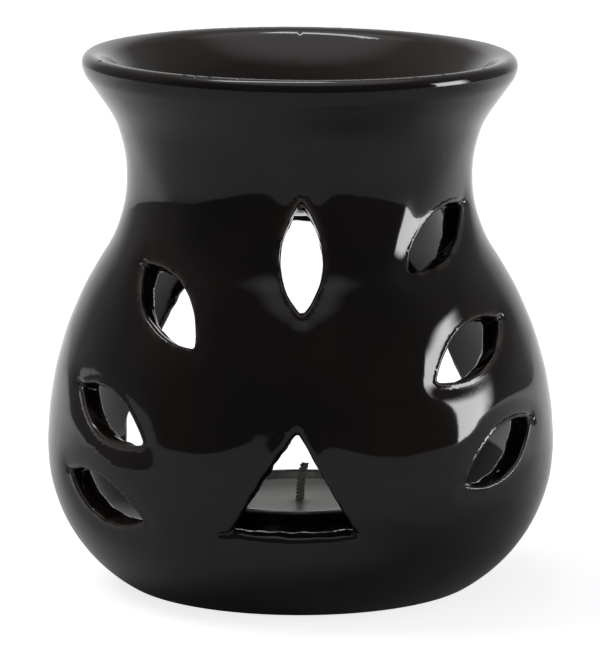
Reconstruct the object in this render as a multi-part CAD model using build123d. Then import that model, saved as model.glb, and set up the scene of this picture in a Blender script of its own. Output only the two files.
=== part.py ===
from build123d import *
from math import acos, asin, atan2, cos, degrees, hypot, radians, sin
import os

# An essential oil burner: a round, pierced clay vase on a flat base, with a dish for water and oil
# set into its flared neck, and a tealight on its floor that warms the dish from below.
# Millimetres. Z is up, the origin is the centre of the base, and the window faces -Y.

# The thrown vase: four arcs run into each other up its outside, from the foot to the belly, over
# the shoulder to the waist, and out to the round lip. The shoulder share says where two of them meet.
foot_radius = 33.5
belly_radius = 49.0
belly_height = 26.7
waist_radius = 33.2
waist_rise = 52.3
shoulder_share = 0.7077
mouth_radius = 41.7
neck_height = 23.8
wall = 5.0
floor_thickness = 6.5
floor_corner_radius = 6.0
foot_round = 1.0

# The dish in the neck
dish_seat_rise = 1.0
dish_seat_length = 10.0
dish_depth = 14.6
dish_wall = 4.0

# The ring of slip under the dish
slip_height = 3.2
slip_reach = 3.8

# The leaf cut-outs: how high each one's middle is, how far round from the front, and its lean.
# The first stands over the window, the next three climb the left side, the last three the right.
leaf_lengths = [21.4, 22.9, 21.7, 22.3, 23.2, 23.3, 23.1]
leaf_widths = [7.8, 9.0, 8.1, 8.4, 7.9, 8.6, 8.9]
leaf_height_shares = [0.863, 0.752, 0.484, 0.276, 0.892, 0.642, 0.389]
leaf_azimuths = [0.5, -38.8, -49.8, -51.4, 50.5, 47.6, 52.2]
leaf_leans = [0.0, -49.7, -68.1, -74.0, 62.3, 66.7, 67.1]
leaf_stem_round = 0.7

# The triangular window in front, cut narrower towards the inside
window_width = 26.6
window_height = 21.6
window_sill_height = 17.4
window_shift = -1.9
window_apex_shift = 1.0
window_left_taper = 2.1
window_right_taper = 0.9
window_top_taper = 1.7
window_sill_taper = 1.0
window_corner_round = 0.9

# The arch at the back: a triangle that widens outwards as if light shone through it from the front
# of the belly. Its size is that before its corners are rounded, halfway out to the belly: half its
# width is a share of the belly's radius, and its height a share of the waist's height.
arch_true_share = 0.5
arch_sill_rise = 2.1
arch_base_share = 0.859
arch_peak_share = 0.961
arch_top_radius = 23.7
arch_corner_radius = 12.5

# The tealight. Its cup stands on a foot ring, and the rest of its base is pressed up.
cup_radius = 19.0
cup_height = 10.5
cup_skin = 0.4
cup_rim_radius = 0.5
cup_ring_width = 3.4
cup_base_rise = 0.5
candle_clearance = 0.3
wax_height = 7.9
wax_edge_round = 0.8
wick_radius = 0.9
wick_stand = 7.0
foot_plate_radius = 6.0
foot_plate_thickness = 0.3
collar_thickness = 0.35
collar_height = 3.0

# How far a cutter runs past the wall that it cuts
overrun = 3.5

# What follows from the sizes above: the arcs, each by its centre and radius in the profile plane
foot_reach = belly_radius - foot_radius
lower_arc_radius = (foot_reach**2 + belly_height**2) / (2 * foot_reach)
shoulder_reach = belly_radius - waist_radius
shoulder_arcs = (shoulder_reach**2 + waist_rise**2) / (2 * shoulder_reach)
upper_arc_radius = shoulder_share * shoulder_arcs
waist_arc_radius = shoulder_arcs - upper_arc_radius
waist_height = belly_height + waist_rise
lip_radius = wall / 2
lip_rise = neck_height - lip_radius
lip_reach = mouth_radius - lip_radius - waist_radius
neck_arc_radius = (lip_reach**2 + lip_rise**2 - lip_radius**2) / (2 * (lip_reach + lip_radius))
lower_centre = (belly_radius - lower_arc_radius, belly_height)
upper_centre = (belly_radius - upper_arc_radius, belly_height)
waist_centre = (waist_radius + waist_arc_radius, waist_height)
neck_centre = (waist_radius + neck_arc_radius, waist_height)
shoulder_angle = degrees(atan2(waist_rise, waist_centre[0] - upper_centre[0]))
lip_angle = 180 - degrees(atan2(lip_rise, neck_arc_radius - lip_reach))
inner_neck_radius = neck_arc_radius + wall
inner_waist_radius = waist_arc_radius + wall


def point_on(centre, radius, angle):
    """The point of a circle in the profile plane, at an angle from the outward direction."""
    return (centre[0] + radius * cos(radians(angle)), centre[1] + radius * sin(radians(angle)))


def arc(centre, radius, start, end):
    return CenterArc(centre, radius, start, end - start)


def turned(edges, rounds=()):
    """A solid of revolution from a closed profile. rounds holds pairs of a corner and its radius."""
    face = make_face(edges)
    for corner, radius in rounds:
        nearest = face.vertices().sort_by_distance(corner)[0]
        face = fillet(nearest, radius)
    return revolve(Plane.XZ * face, Axis.Z)


def wall_at(height):
    """Radius of the outside at a height below the waist, and the upward tilt of the wall's normal."""
    shoulder_height = point_on(upper_centre, upper_arc_radius, shoulder_angle)[1]
    if height < belly_height:
        tilt = asin((height - belly_height) / lower_arc_radius)
        return lower_centre[0] + lower_arc_radius * cos(tilt), degrees(tilt)
    if height < shoulder_height:
        tilt = asin((height - belly_height) / upper_arc_radius)
        return upper_centre[0] + upper_arc_radius * cos(tilt), degrees(tilt)
    tilt = asin((waist_height - height) / waist_arc_radius)
    return waist_centre[0] - waist_arc_radius * cos(tilt), degrees(tilt)


# The pierced body
def vase():
    lower_inner = lower_arc_radius - wall
    foot_angle = -degrees(asin(belly_height / lower_arc_radius))
    floor_angle = -degrees(asin((belly_height - floor_thickness) / lower_inner))
    foot_corner = point_on(lower_centre, lower_arc_radius, foot_angle)
    floor_corner = point_on(lower_centre, lower_inner, floor_angle)
    lip_centre = point_on(neck_centre, neck_arc_radius + lip_radius, lip_angle)
    edges = [
        Line((0, 0), foot_corner),
        arc(lower_centre, lower_arc_radius, foot_angle, 0),
        arc(upper_centre, upper_arc_radius, 0, shoulder_angle),
        arc(waist_centre, waist_arc_radius, 180 + shoulder_angle, 180),
        arc(neck_centre, neck_arc_radius, 180, lip_angle),
        arc(lip_centre, lip_radius, lip_angle - 180, lip_angle),
        arc(neck_centre, inner_neck_radius, lip_angle, 180),
        arc(waist_centre, inner_waist_radius, 180, 180 + shoulder_angle),
        arc(upper_centre, upper_arc_radius - wall, shoulder_angle, 0),
        arc(lower_centre, lower_inner, 0, floor_angle),
        Line(floor_corner, (0, floor_thickness)),
        Line((0, floor_thickness), (0, 0)),
    ]
    rounds = [(foot_corner, foot_round), (floor_corner, floor_corner_radius)]
    return turned(edges, rounds)


def leaf_cutter(length, width, height, azimuth, lean):
    """A leaf-shaped prism that stands square to the wall."""
    radius, tilt = wall_at(height)
    half_length = length / 2
    half_width = width / 2
    tip, stem = (0, half_length), (0, -half_length)
    leaf = make_face([ThreePointArc(tip, (half_width, 0), stem), ThreePointArc(stem, (-half_width, 0), tip)])
    leaf = fillet(leaf.vertices().sort_by_distance(stem)[0], leaf_stem_round)
    out = Vector(sin(radians(azimuth)), -cos(radians(azimuth)), 0)
    normal = out * cos(radians(tilt)) + Vector(0, 0, 1) * sin(radians(tilt))
    across = Vector(cos(radians(azimuth)), sin(radians(azimuth)), 0)
    place = Plane(origin=out * radius + Vector(0, 0, height), x_dir=across, z_dir=normal)
    turned_leaf = place * Rot(0, 0, -lean) * leaf
    outer_part = extrude(turned_leaf, overrun, dir=normal)
    inner_part = extrude(turned_leaf, wall + overrun, dir=-normal)
    return outer_part + inner_part


def window_section(depth_share):
    """The window's triangle, at a share of the wall's thickness from the outside."""
    left = window_shift - window_width / 2 + window_left_taper * depth_share
    right = window_shift + window_width / 2 - window_right_taper * depth_share
    apex = window_shift + window_apex_shift
    sill = window_sill_height + window_sill_taper * depth_share
    top = window_sill_height + window_height - window_top_taper * depth_share
    apex_in = apex + (window_left_taper - window_right_taper) / 2 * depth_share
    triangle = make_face(Polyline((left, sill), (right, sill), (apex_in, top), close=True))
    triangle = fillet(triangle.vertices(), window_corner_round)
    return Plane.XZ.offset(belly_radius - wall * depth_share) * triangle


def window_cutter():
    run_share = overrun / wall
    return loft([window_section(-run_share), window_section(1 + run_share)])


def arch_section(distance):
    """The arch's outline at a distance behind the axis."""
    spread = (distance / belly_radius + 1) / (arch_true_share + 1)
    sill = floor_thickness + arch_sill_rise
    base = arch_base_share * belly_radius * spread
    peak = sill + arch_peak_share * waist_height * spread
    outline = make_face(Polyline((-base, sill), (base, sill), (0, peak), close=True))
    outline = fillet(outline.vertices().sort_by_distance((0, peak))[0], arch_top_radius * spread)
    outline = fillet(outline.vertices().group_by(Axis.Y)[0], arch_corner_radius * spread)
    return Plane.XZ.offset(-distance) * outline


def arch_cutter():
    return loft([arch_section(0), arch_section(belly_radius + overrun)], ruled=True)


def burner_body():
    body = vase()
    leaves = zip(leaf_lengths, leaf_widths, leaf_height_shares, leaf_azimuths, leaf_leans)
    for length, width, share, azimuth, lean in leaves:
        body -= leaf_cutter(length, width, share * waist_height, azimuth, lean)
    body -= window_cutter()
    body -= arch_cutter()
    return body


# The dish, which sits in the throat above the waist, and the slip that holds it
seat_foot_height = waist_height + dish_seat_rise
dish_rim_height = seat_foot_height + dish_seat_length
bowl_bottom = dish_rim_height - dish_depth
dish_bottom = bowl_bottom - dish_wall
neck_drop = bowl_bottom - waist_height
bowl_reach = neck_centre[0] ** 2 + neck_drop**2 - inner_neck_radius**2
bowl_radius = bowl_reach / (2 * (inner_neck_radius - neck_drop))
rim_angle = 180 - degrees(asin((dish_rim_height - waist_height) / inner_neck_radius))
seat_angle = 180 - degrees(asin(dish_seat_rise / inner_neck_radius))
seat_foot = point_on(neck_centre, inner_neck_radius, seat_angle)
belly_of_dish = seat_foot_height - dish_bottom
underside_radius = (seat_foot[0] ** 2 + belly_of_dish**2) / (2 * belly_of_dish)
underside_centre = (0, dish_bottom + underside_radius)
underside_angle = degrees(asin((seat_foot_height - underside_centre[1]) / underside_radius))


def oil_bowl():
    bowl_centre = (0, bowl_bottom + bowl_radius)
    inner_rim_angle = degrees(asin((dish_rim_height - bowl_centre[1]) / bowl_radius))
    inner_rim = point_on(bowl_centre, bowl_radius, inner_rim_angle)
    outer_rim = point_on(neck_centre, inner_neck_radius, rim_angle)
    edges = [
        arc(bowl_centre, bowl_radius, -90, inner_rim_angle),
        Line(inner_rim, outer_rim),
        arc(neck_centre, inner_neck_radius, rim_angle, seat_angle),
        arc(underside_centre, underside_radius, underside_angle, -90),
        Line((0, dish_bottom), (0, bowl_bottom)),
    ]
    return turned(edges)


def slip_joint():
    """A ring of slip in the corner under the dish, from its seat down to below the waist."""
    drop = slip_height - dish_seat_rise
    drop_angle = 180 + degrees(asin(drop / inner_waist_radius))
    reach = seat_foot[0] - slip_reach
    reach_angle = -degrees(acos(reach / underside_radius))
    on_wall = point_on(waist_centre, inner_waist_radius, drop_angle)
    on_dish = point_on(underside_centre, underside_radius, reach_angle)
    chord = hypot(on_wall[0] - on_dish[0], on_wall[1] - on_dish[1])
    edges = [
        arc(neck_centre, inner_neck_radius, seat_angle, 180),
        arc(waist_centre, inner_waist_radius, 180, drop_angle),
        RadiusArc(on_wall, on_dish, chord),
        arc(underside_centre, underside_radius, reach_angle, underside_angle),
    ]
    return turned(edges)


# The tealight, which stands on the floor of the body
cup_floor = floor_thickness
raised_base_radius = cup_radius - cup_ring_width
raised_base_height = cup_floor + cup_base_rise
wax_bottom = raised_base_height + cup_skin
wax_radius = cup_radius - cup_skin - candle_clearance
wax_top = wax_bottom + wax_height
plate_top = wax_bottom + foot_plate_thickness
collar_radius = wick_radius + collar_thickness


def cylinder_from(radius, bottom, top):
    return Pos(0, 0, bottom) * Cylinder(radius, top - bottom, align=(Align.CENTER, Align.CENTER, Align.MIN))


def tealight_cup():
    cup_top = cup_floor + cup_height
    shell = cylinder_from(cup_radius, cup_floor, cup_top)
    shell -= cylinder_from(cup_radius - cup_skin, cup_floor + cup_skin, cup_top)
    shell += cylinder_from(raised_base_radius, cup_floor, wax_bottom)
    shell -= cylinder_from(raised_base_radius - cup_skin, cup_floor, raised_base_height)
    rim_ring = Torus(cup_radius - cup_skin + cup_rim_radius, cup_rim_radius)
    rim = Pos(0, 0, cup_top - cup_rim_radius) * rim_ring
    return shell + rim


def wick_sustainer():
    plate = cylinder_from(foot_plate_radius, wax_bottom, plate_top)
    collar = cylinder_from(collar_radius, plate_top, plate_top + collar_height)
    return plate + collar - cylinder_from(wick_radius, plate_top, plate_top + collar_height)


def tealight_wax():
    puck = cylinder_from(wax_radius, wax_bottom, wax_top)
    puck = fillet(puck.edges().group_by(Axis.Z)[-1], wax_edge_round)
    puck -= cylinder_from(foot_plate_radius, wax_bottom, plate_top)
    puck -= cylinder_from(collar_radius, plate_top, plate_top + collar_height)
    return puck - cylinder_from(wick_radius, plate_top, wax_top)


def tealight_wick():
    return cylinder_from(wick_radius, plate_top, wax_top + wick_stand)


nodes = {
    "burner_body": burner_body,
    "oil_bowl": oil_bowl,
    "slip_joint": slip_joint,
    "tealight_cup": tealight_cup,
    "tealight_wax": tealight_wax,
    "tealight_wick": tealight_wick,
    "wick_sustainer": wick_sustainer,
}

os.makedirs("parts", exist_ok=True)
for name, make in nodes.items():
    export_step(make(), f"parts/{name}.step")
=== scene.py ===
# %% [markdown]
# # A pierced oil burner, thrown in clay and glazed black
# The burner is a round vase with a flared neck. Seven leaves and a triangular window are cut into
# its wall, and an arch at the back lets a tealight in. A dish in the neck holds water and scented
# oil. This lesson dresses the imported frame: it never moves a part, but gives each one its finish.

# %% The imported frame
from math import asin, atan2, cos, degrees, pi, radians, sin

import bmesh
import bpy
import numpy as np
from mathutils import Matrix, Vector


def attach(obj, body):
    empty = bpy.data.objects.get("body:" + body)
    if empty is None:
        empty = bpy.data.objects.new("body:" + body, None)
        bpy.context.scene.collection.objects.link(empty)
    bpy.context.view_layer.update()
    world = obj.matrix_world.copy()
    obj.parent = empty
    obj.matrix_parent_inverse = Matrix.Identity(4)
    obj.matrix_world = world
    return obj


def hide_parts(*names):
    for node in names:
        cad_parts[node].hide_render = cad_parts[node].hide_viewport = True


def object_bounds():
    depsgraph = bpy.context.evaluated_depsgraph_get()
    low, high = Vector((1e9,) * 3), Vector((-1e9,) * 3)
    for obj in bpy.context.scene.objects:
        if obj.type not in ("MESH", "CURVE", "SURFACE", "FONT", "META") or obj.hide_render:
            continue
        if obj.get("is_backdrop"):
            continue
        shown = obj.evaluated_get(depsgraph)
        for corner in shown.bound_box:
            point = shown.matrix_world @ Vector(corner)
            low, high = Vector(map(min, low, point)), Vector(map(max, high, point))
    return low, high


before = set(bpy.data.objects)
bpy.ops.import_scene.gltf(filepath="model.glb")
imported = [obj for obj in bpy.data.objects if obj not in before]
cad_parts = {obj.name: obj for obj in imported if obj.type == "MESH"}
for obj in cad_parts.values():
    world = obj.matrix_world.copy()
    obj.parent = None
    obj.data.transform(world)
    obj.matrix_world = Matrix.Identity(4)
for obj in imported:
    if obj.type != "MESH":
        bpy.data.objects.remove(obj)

cad_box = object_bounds()
mm = 0.001

# %% [markdown]
# ## The camera
# The photograph was taken from under a metre away with a long lens, a little above the rim, so that
# the far wall of the mouth just shows. A long lens keeps the sides of the vase nearly parallel.
# The focal length is known in pixels, and a sensor 36 mm wide turns it into millimetres.

# %% The camera
photo_height = 660
focal_pixels = 4665.3
sensor_width = 36.0
camera_distance = 0.900
camera_elevation = radians(10.41)
aim_height = 48.48 * mm


def place_camera():
    data = bpy.data.cameras.new("camera")
    data.sensor_width = sensor_width
    data.lens = focal_pixels / photo_height * sensor_width
    camera = bpy.data.objects.new("camera", data)
    bpy.context.scene.collection.objects.link(camera)
    back = Vector((0, -cos(camera_elevation), sin(camera_elevation)))
    camera.location = Vector((0, 0, aim_height)) + back * camera_distance
    camera.rotation_euler = (pi / 2 - camera_elevation, 0, 0)
    bpy.context.scene.camera = camera
    return camera


camera = place_camera()
print("lens", round(camera.data.lens, 1), "mm")

# %% [markdown]
# ## The sizes of the vase
# A thrown vase is the same all the way round, so a few arcs describe it: one from the foot to the
# belly, one over the shoulder, one in to the waist and one out to the lip. The wall is equally
# thick all the way up. These are the frame's own sizes, in metres.

# %% The sizes of the vase
foot_radius = 33.5 * mm
belly_radius = 49.0 * mm
belly_height = 26.7 * mm
waist_radius = 33.2 * mm
waist_rise = 52.3 * mm
shoulder_share = 0.7077
mouth_radius = 41.7 * mm
neck_height = 23.8 * mm
wall = 5.0 * mm
floor_thickness = 6.5 * mm
floor_corner_radius = 6.0 * mm
foot_round = 0.5 * mm

waist_height = belly_height + waist_rise
crest_height = waist_height + neck_height
half_wall = wall / 2
foot_reach = belly_radius - foot_radius
lower_radius = (foot_reach**2 + belly_height**2) / (2 * foot_reach)
shoulder_reach = belly_radius - waist_radius
shoulder_arcs = (shoulder_reach**2 + waist_rise**2) / (2 * shoulder_reach)
upper_radius = shoulder_share * shoulder_arcs
waist_arc_radius = shoulder_arcs - upper_radius
lip_rise = neck_height - half_wall
lip_reach = mouth_radius - half_wall - waist_radius
neck_radius = (lip_reach**2 + lip_rise**2 - half_wall**2) / (2 * (lip_reach + half_wall))
lower_centre = (belly_radius - lower_radius, belly_height)
upper_centre = (belly_radius - upper_radius, belly_height)
waist_centre = (waist_radius + waist_arc_radius, waist_height)
neck_centre = (waist_radius + neck_radius, waist_height)
shoulder_angle = atan2(waist_rise, waist_centre[0] - upper_centre[0])
lip_angle = atan2(lip_rise, neck_radius - lip_reach)
lip_place = (
    neck_centre[0] - (neck_radius + half_wall) * cos(lip_angle),
    neck_centre[1] + (neck_radius + half_wall) * sin(lip_angle),
)
print("crest", round(crest_height / mm, 1), "mm, lower arc", round(lower_radius / mm, 1), "mm")

# %% [markdown]
# ## A tape measure for the clay
# Cuts made with a knife in soft clay have rounded lips, and the wall sinks a little towards them.
# Booleans alone leave razor edges. So the clay is also described by a signed distance: a formula
# that tells, for any point, how far it lies outside the clay, below zero inside it. Two such
# distances meet in a rounded edge with round_meet. The mesh is later pressed onto this formula.

# %% A tape measure for the clay
# Each arc of the wall's middle line: its centre, radius, lowest and highest angle, and 1 if the
# centre is on the inner side of the wall, or -1 if it is on the outer side.
middle_arcs = [
    (lower_centre, lower_radius - half_wall, -pi / 2, 0, 1),
    (upper_centre, upper_radius - half_wall, 0, shoulder_angle, 1),
    (waist_centre, waist_arc_radius + half_wall, -shoulder_angle, 0, -1),
    (neck_centre, neck_radius + half_wall, 0, lip_angle, -1),
]


def round_meet(a, b, radius):
    """Distance to where a and b both hold, with the edge between them rounded."""
    corner = np.hypot(np.maximum(a + radius, 0), np.maximum(b + radius, 0))
    return np.minimum(np.maximum(a, b), -radius) + corner


def soft_step(x):
    """Rises smoothly from 0 to 1 as x does."""
    x = np.clip(x, 0, 1)
    return x * x * (3 - 2 * x)


def from_middle(r, z):
    """Signed offset from the wall's middle line, outward above zero."""
    nearest = np.full(r.shape, np.inf)
    offset = np.zeros(r.shape)
    for (centre_r, centre_z), radius, low, high, side in middle_arcs:
        dr, dz = r - centre_r, z - centre_z
        if low < 0 < side:
            dr = np.maximum(dr, 0)
        angle = np.clip(np.arctan2(dz, side * dr), low, high)
        gap = np.hypot(dr - side * radius * np.cos(angle), dz - radius * np.sin(angle))
        closer = gap < nearest
        nearest = np.where(closer, gap, nearest)
        offset = np.where(closer, side * (np.hypot(dr, dz) - radius), offset)
    return offset


print("the lip's middle is", round(lip_place[1] / mm, 2), "mm up")

# %% [markdown]
# ## The hand in the throwing
# The real burner isn't turned on a lathe. Its rim sinks towards the front right, its walls sway a
# little on the way up, and the fingers leave faint rings. as_drawn takes a point of the real burner
# and says where it lies on the perfect drawing, so every formula can stay simple. as_thrown goes
# the other way, for the pieces that sit in the clay. The clay is only ever drawn inward and down,
# so the burner stays inside its packed box.

# %% The hand in the throwing
rim_drop = 0.85 * mm
rim_drop_from = 72 * mm
rim_low_side = radians(62)
out_of_round = 0.12 * mm
sway_from = 30 * mm
sway_height = 50 * mm
finger_ring = 0.025 * mm
ring_pitch = 7.3 * mm
ring_drift_pitch = 31 * mm
ring_fade = 30 * mm
ring_drift = 0.6
ring_twist = 0.15


def shrink_share(angle, z):
    """How much the clay is drawn in at a place, as a share of its radius."""
    lobes = 1 - np.cos(pi * (z - sway_from) / sway_height) * np.sin(angle)
    drift = ring_drift * np.sin(2 * pi * z / ring_drift_pitch) + ring_twist * angle
    rings = 1 + np.sin(2 * pi * z / ring_pitch + drift)
    return (out_of_round * lobes + finger_ring * rings * soft_step(z / ring_fade)) / belly_radius


def rim_lowering(angle, z):
    """How far the clay has sunk at a place: most at the front right of the rim."""
    share = soft_step((z - rim_drop_from) / (crest_height - rim_drop_from))
    return rim_drop / 2 * (1 + np.cos(angle - rim_low_side)) * share


def as_drawn(points, way=1):
    x, y, z = points.T
    angle = np.arctan2(x, -y)
    grown = (1 + shrink_share(angle, z)) ** way
    return np.stack([x * grown, y * grown, z + way * rim_lowering(angle, z)], axis=1)


def as_thrown(points):
    return as_drawn(points, -1.0)


print("the rim sinks by up to", round(rim_drop / mm, 2), "mm")

# %% [markdown]
# ## The leaves
# Each leaf is where two round discs overlap, laid flat against the wall. Its place is a height and
# an angle round from the front, and its lean is how far its tip leans from upright. The distance
# to a leaf is then the larger of the distances to its two discs.

# %% The leaves
# For each leaf: length, width, height of its middle, degrees round from the front, and lean
leaf_sizes = [
    (21.4, 7.8, 68.2, 0.5, 0.0),
    (22.9, 9.0, 59.4, -38.8, -49.7),
    (21.7, 8.1, 38.2, -49.8, -68.1),
    (22.3, 8.4, 21.8, -51.4, -74.0),
    (23.2, 7.9, 70.5, 50.5, 62.3),
    (23.3, 8.6, 50.7, 47.6, 66.7),
    (23.1, 8.9, 30.7, 52.2, 67.1),
]
cut_depth = 12 * mm
leaf_tip_round = 0.35 * mm
tail_length = 1.3 * mm
tail_curl = 0.4 * mm


def wall_place(height):
    """Radius of the outside at a height, and the upward tilt of its normal."""
    for (centre_r, centre_z), radius, low, high, side in middle_arcs:
        outer = radius + side * half_wall
        rise = (height - centre_z) / outer
        if sin(low) <= rise <= sin(high):
            tilt = side * asin(rise)
            return centre_r + side * outer * cos(tilt), tilt


def leaf_frame(height, azimuth, lean):
    """A matrix whose axes run across the leaf, along it and out of the wall."""
    radius, tilt = wall_place(height)
    out = Vector((sin(azimuth), -cos(azimuth), 0))
    side = Vector((cos(azimuth), sin(azimuth), 0))
    normal = out * cos(tilt) + Vector((0, 0, sin(tilt)))
    up = normal.cross(side)
    along = up * cos(lean) + side * sin(lean)
    across = along.cross(normal)
    place = Matrix((across, along, normal)).transposed().to_4x4()
    place.translation = out * radius + Vector((0, 0, height))
    return place


class Leaf:
    def __init__(self, length, width, height, azimuth, lean):
        self.length, self.width = length * mm, width * mm
        self.place = leaf_frame(height * mm, radians(azimuth), radians(lean))
        self.disc = (self.length**2 + self.width**2) / (4 * self.width)
        self.curl = tail_curl if lean > 0 else -tail_curl

    def own_axes(self, points):
        """How far points of the drawing lie across the leaf, along it and out of the wall."""
        away = points - np.array(self.place.translation)
        return (away @ np.array(self.place.to_3x3())).T

    def distance(self, points):
        u, v, w = self.own_axes(points)
        step = self.disc - self.width / 2
        right = np.hypot(u + step, v) - self.disc
        left = np.hypot(u - step, v) - self.disc
        return np.maximum(round_meet(right, left, leaf_tip_round), -w - cut_depth)

    def tail(self, points):
        """Distance from the scratch past the upper tip, seen straight on."""
        u, v, w = self.own_axes(points)
        past = np.clip(v, self.length / 2 - tail_length, self.length / 2 + tail_length)
        curl = (past - self.length / 2) / tail_length * self.curl
        return np.where(np.abs(w) < cut_depth, np.hypot(u - curl, v - past), np.inf)


leaves = [Leaf(*sizes) for sizes in leaf_sizes]
print(len(leaves), "leaves")

# %% [markdown]
# ## The window and the arch
# The window is a triangle cut straight in from the front, a little narrower inside. The knife drew
# its sill down on the outside and left a short scratch at its left corner. The arch at the back is
# a triangle with well rounded corners that widens outwards, as if light shone through it from the
# front of the belly: a point is brought back to the arch's own plane by that spread, and measured
# there.

# %% The window and the arch
window_width = 26.6 * mm
window_height = 21.6 * mm
window_sill = 17.4 * mm
window_shift = -1.9 * mm
window_apex_shift = 1.0 * mm
window_left_taper = 2.1 * mm
window_right_taper = 0.9 * mm
window_top_taper = 1.7 * mm
window_sill_taper = 1.0 * mm
window_round = 0.6 * mm
window_bow = 1.4 * mm
window_tilt = 1.2 * mm
window_lip_drop = 1.4 * mm
window_scratch = (-14.9 * mm, -12.6 * mm)
window_scratch_height = window_sill + 0.6 * mm
arch_true_share = 0.5
arch_sill = floor_thickness + 2.1 * mm
arch_base = 0.859 * belly_radius
arch_peak = 0.961 * waist_height
arch_top_radius = 23.7 * mm
arch_corner_radius = 12.5 * mm
arch_lean = atan2(arch_base, arch_peak)


def beyond_line(x, z, start, end):
    """Distance of a point to the right of a line, seen along it from start to end."""
    dx, dz = end[0] - start[0], end[1] - start[1]
    return ((x - start[0]) * dz - (z - start[1]) * dx) / np.hypot(dx, dz)


def window_distance(points):
    x, y, z = points.T
    # 0 at the outside of the wall, and 1 at its inside
    depth = np.clip((y + belly_radius) / wall, -0.7, 1.7)
    left = window_shift - window_width / 2 + window_left_taper * depth
    right = window_shift + window_width / 2 - window_right_taper * depth
    apex = window_shift + window_apex_shift + (window_left_taper - window_right_taper) / 2 * depth
    leftward = np.clip((right - x) / (right - left), 0, 1)
    sill = window_sill - (window_lip_drop + window_tilt * leftward) * (1 - np.clip(depth, 0, 1))
    sill = sill + window_sill_taper * depth
    top = window_sill + window_height - window_top_taper * depth
    rise = np.clip((z - sill) / (top - sill), 0, 1)
    bow = window_bow * 4 * rise * (1 - rise) * (1 - np.clip(depth, 0, 1))
    past_left = beyond_line(x, z, (apex, top), (left, sill)) - bow
    past_right = beyond_line(x, z, (right, sill), (apex, top))
    sides = round_meet(past_left, past_right, window_round)
    shape = round_meet(sides, sill - z, window_round)
    return np.maximum(shape, y + belly_radius - cut_depth)


def arch_distance(points):
    x, y, z = points.T
    spread = np.maximum(y / belly_radius + 1, 0.1) / (arch_true_share + 1)
    flat_x, rise = np.abs(x) / spread, (z - arch_sill) / spread
    side = (flat_x - arch_base) * cos(arch_lean) + rise * sin(arch_lean)
    shape = np.maximum(side, -rise)
    top_rise = rise - (arch_peak - arch_top_radius / sin(arch_lean))
    in_top = top_rise > flat_x * np.tan(arch_lean)
    shape = np.where(in_top, np.hypot(flat_x, top_rise) - arch_top_radius, shape)
    corner_x = flat_x - arch_base + arch_corner_radius * (1 + sin(arch_lean)) / cos(arch_lean)
    corner_rise = rise - arch_corner_radius
    in_corner = (corner_x > 0) & (corner_rise < corner_x * np.tan(arch_lean))
    shape = np.where(in_corner, np.hypot(corner_x, corner_rise) - arch_corner_radius, shape)
    return np.maximum(shape * spread, belly_radius / 3 - y)


print("arch leans", round(degrees(arch_lean), 1), "degrees")

# %% [markdown]
# ## The whole clay
# The neck flares straight out to a rolled lip, which is fuller and rounder outside than inside. The
# knife leaves its own marks: the wall sinks towards the cuts, most of all round the window, a faint
# burr stands beside the leaves, and the inner edges are uneven. The clay's distance takes the vase
# with its lip, hollows it down to the floor, and takes each cut out with a rounded edge. cut_ripple
# adds a few sine waves, which is as good as noise here and the same on every run.

# %% The whole clay
lip_top_round = 2.2 * mm
lip_inner_round = 1.5 * mm
lip_side_round = 3.0 * mm
roll_radius = 5.2 * mm
roll_drop = 1.8 * mm
roll_height = crest_height - roll_drop
flare_slope = radians(36.5)
flare_blend = 0.9 * mm
edge_round = 0.6 * mm
window_edge_round = 1.1 * mm
arch_edge_round = 1.1 * mm
leaf_dent = 0.55 * mm
leaf_dent_width = 2.3 * mm
burr = 0.09 * mm
burr_place = 0.5 * mm
burr_width = 0.35 * mm
tail_depth = 0.5 * mm
tail_width = 0.4 * mm
window_dent = 1.5 * mm
window_dent_width = 4.6 * mm
ripple = 0.17 * mm
# For each wave: its turn per millimetre along X, Y and Z, in radians, and where it starts
ripple_waves = [
    (0.9, 0.4, 1.1, 0.3), (-0.7, 1.2, 0.5, 1.9), (1.6, -0.9, 1.3, 4.0), (0.3, 1.9, -1.7, 2.6),
]
outer_ripple_share = 0.35


def cut_ripple(points):
    total = np.zeros(len(points))
    for *turn, start in ripple_waves:
        total += np.sin(points @ np.array(turn) / mm + start)
    return ripple * total / 2


def leaf_distance(points):
    return np.minimum.reduce([leaf.distance(points) for leaf in leaves])


def tail_distance(points):
    """Distance to the nearest scratch, past a leaf's tip or at the window's corner."""
    x, y, z = points.T
    along = np.clip(x, *window_scratch) - x
    corner = np.where(y < 0, np.hypot(along, window_scratch_height - z), np.inf)
    return np.minimum.reduce([leaf.tail(points) for leaf in leaves[1:]] + [corner])


def from_cuts(points):
    """How far points of the drawing lie from the nearest cut's surface or scratch."""
    kinds = (window_distance, leaf_distance, tail_distance, arch_distance)
    return np.minimum.reduce([np.abs(kind(points)) for kind in kinds])


def rolled_lip(r, z):
    """Distance from a plug shaped like the lip's outside: upright, then a roll, then a cone."""
    dr, dz = r - mouth_radius + roll_radius, z - roll_height
    roll = np.hypot(dr, dz) - roll_radius
    cone = dr * cos(flare_slope) - dz * sin(flare_slope) - roll_radius
    below = np.where(np.arctan2(dz, dr) < -flare_slope, cone, roll)
    return np.where(dz < 0, below, r - mouth_radius)


def blended(a, b, reach):
    """Distance to where a or b holds, with a soft swelling where they meet at a slant."""
    share = np.clip(0.5 + (b - a) / (2 * reach), 0, 1)
    return b + (a - b) * share - reach * share * (1 - share)


def dent(distance, depth, width):
    """How far the wall has sunk, by the distance from a cut."""
    return depth * np.exp(-((np.maximum(distance, 0) / width) ** 2) / 2)


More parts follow.
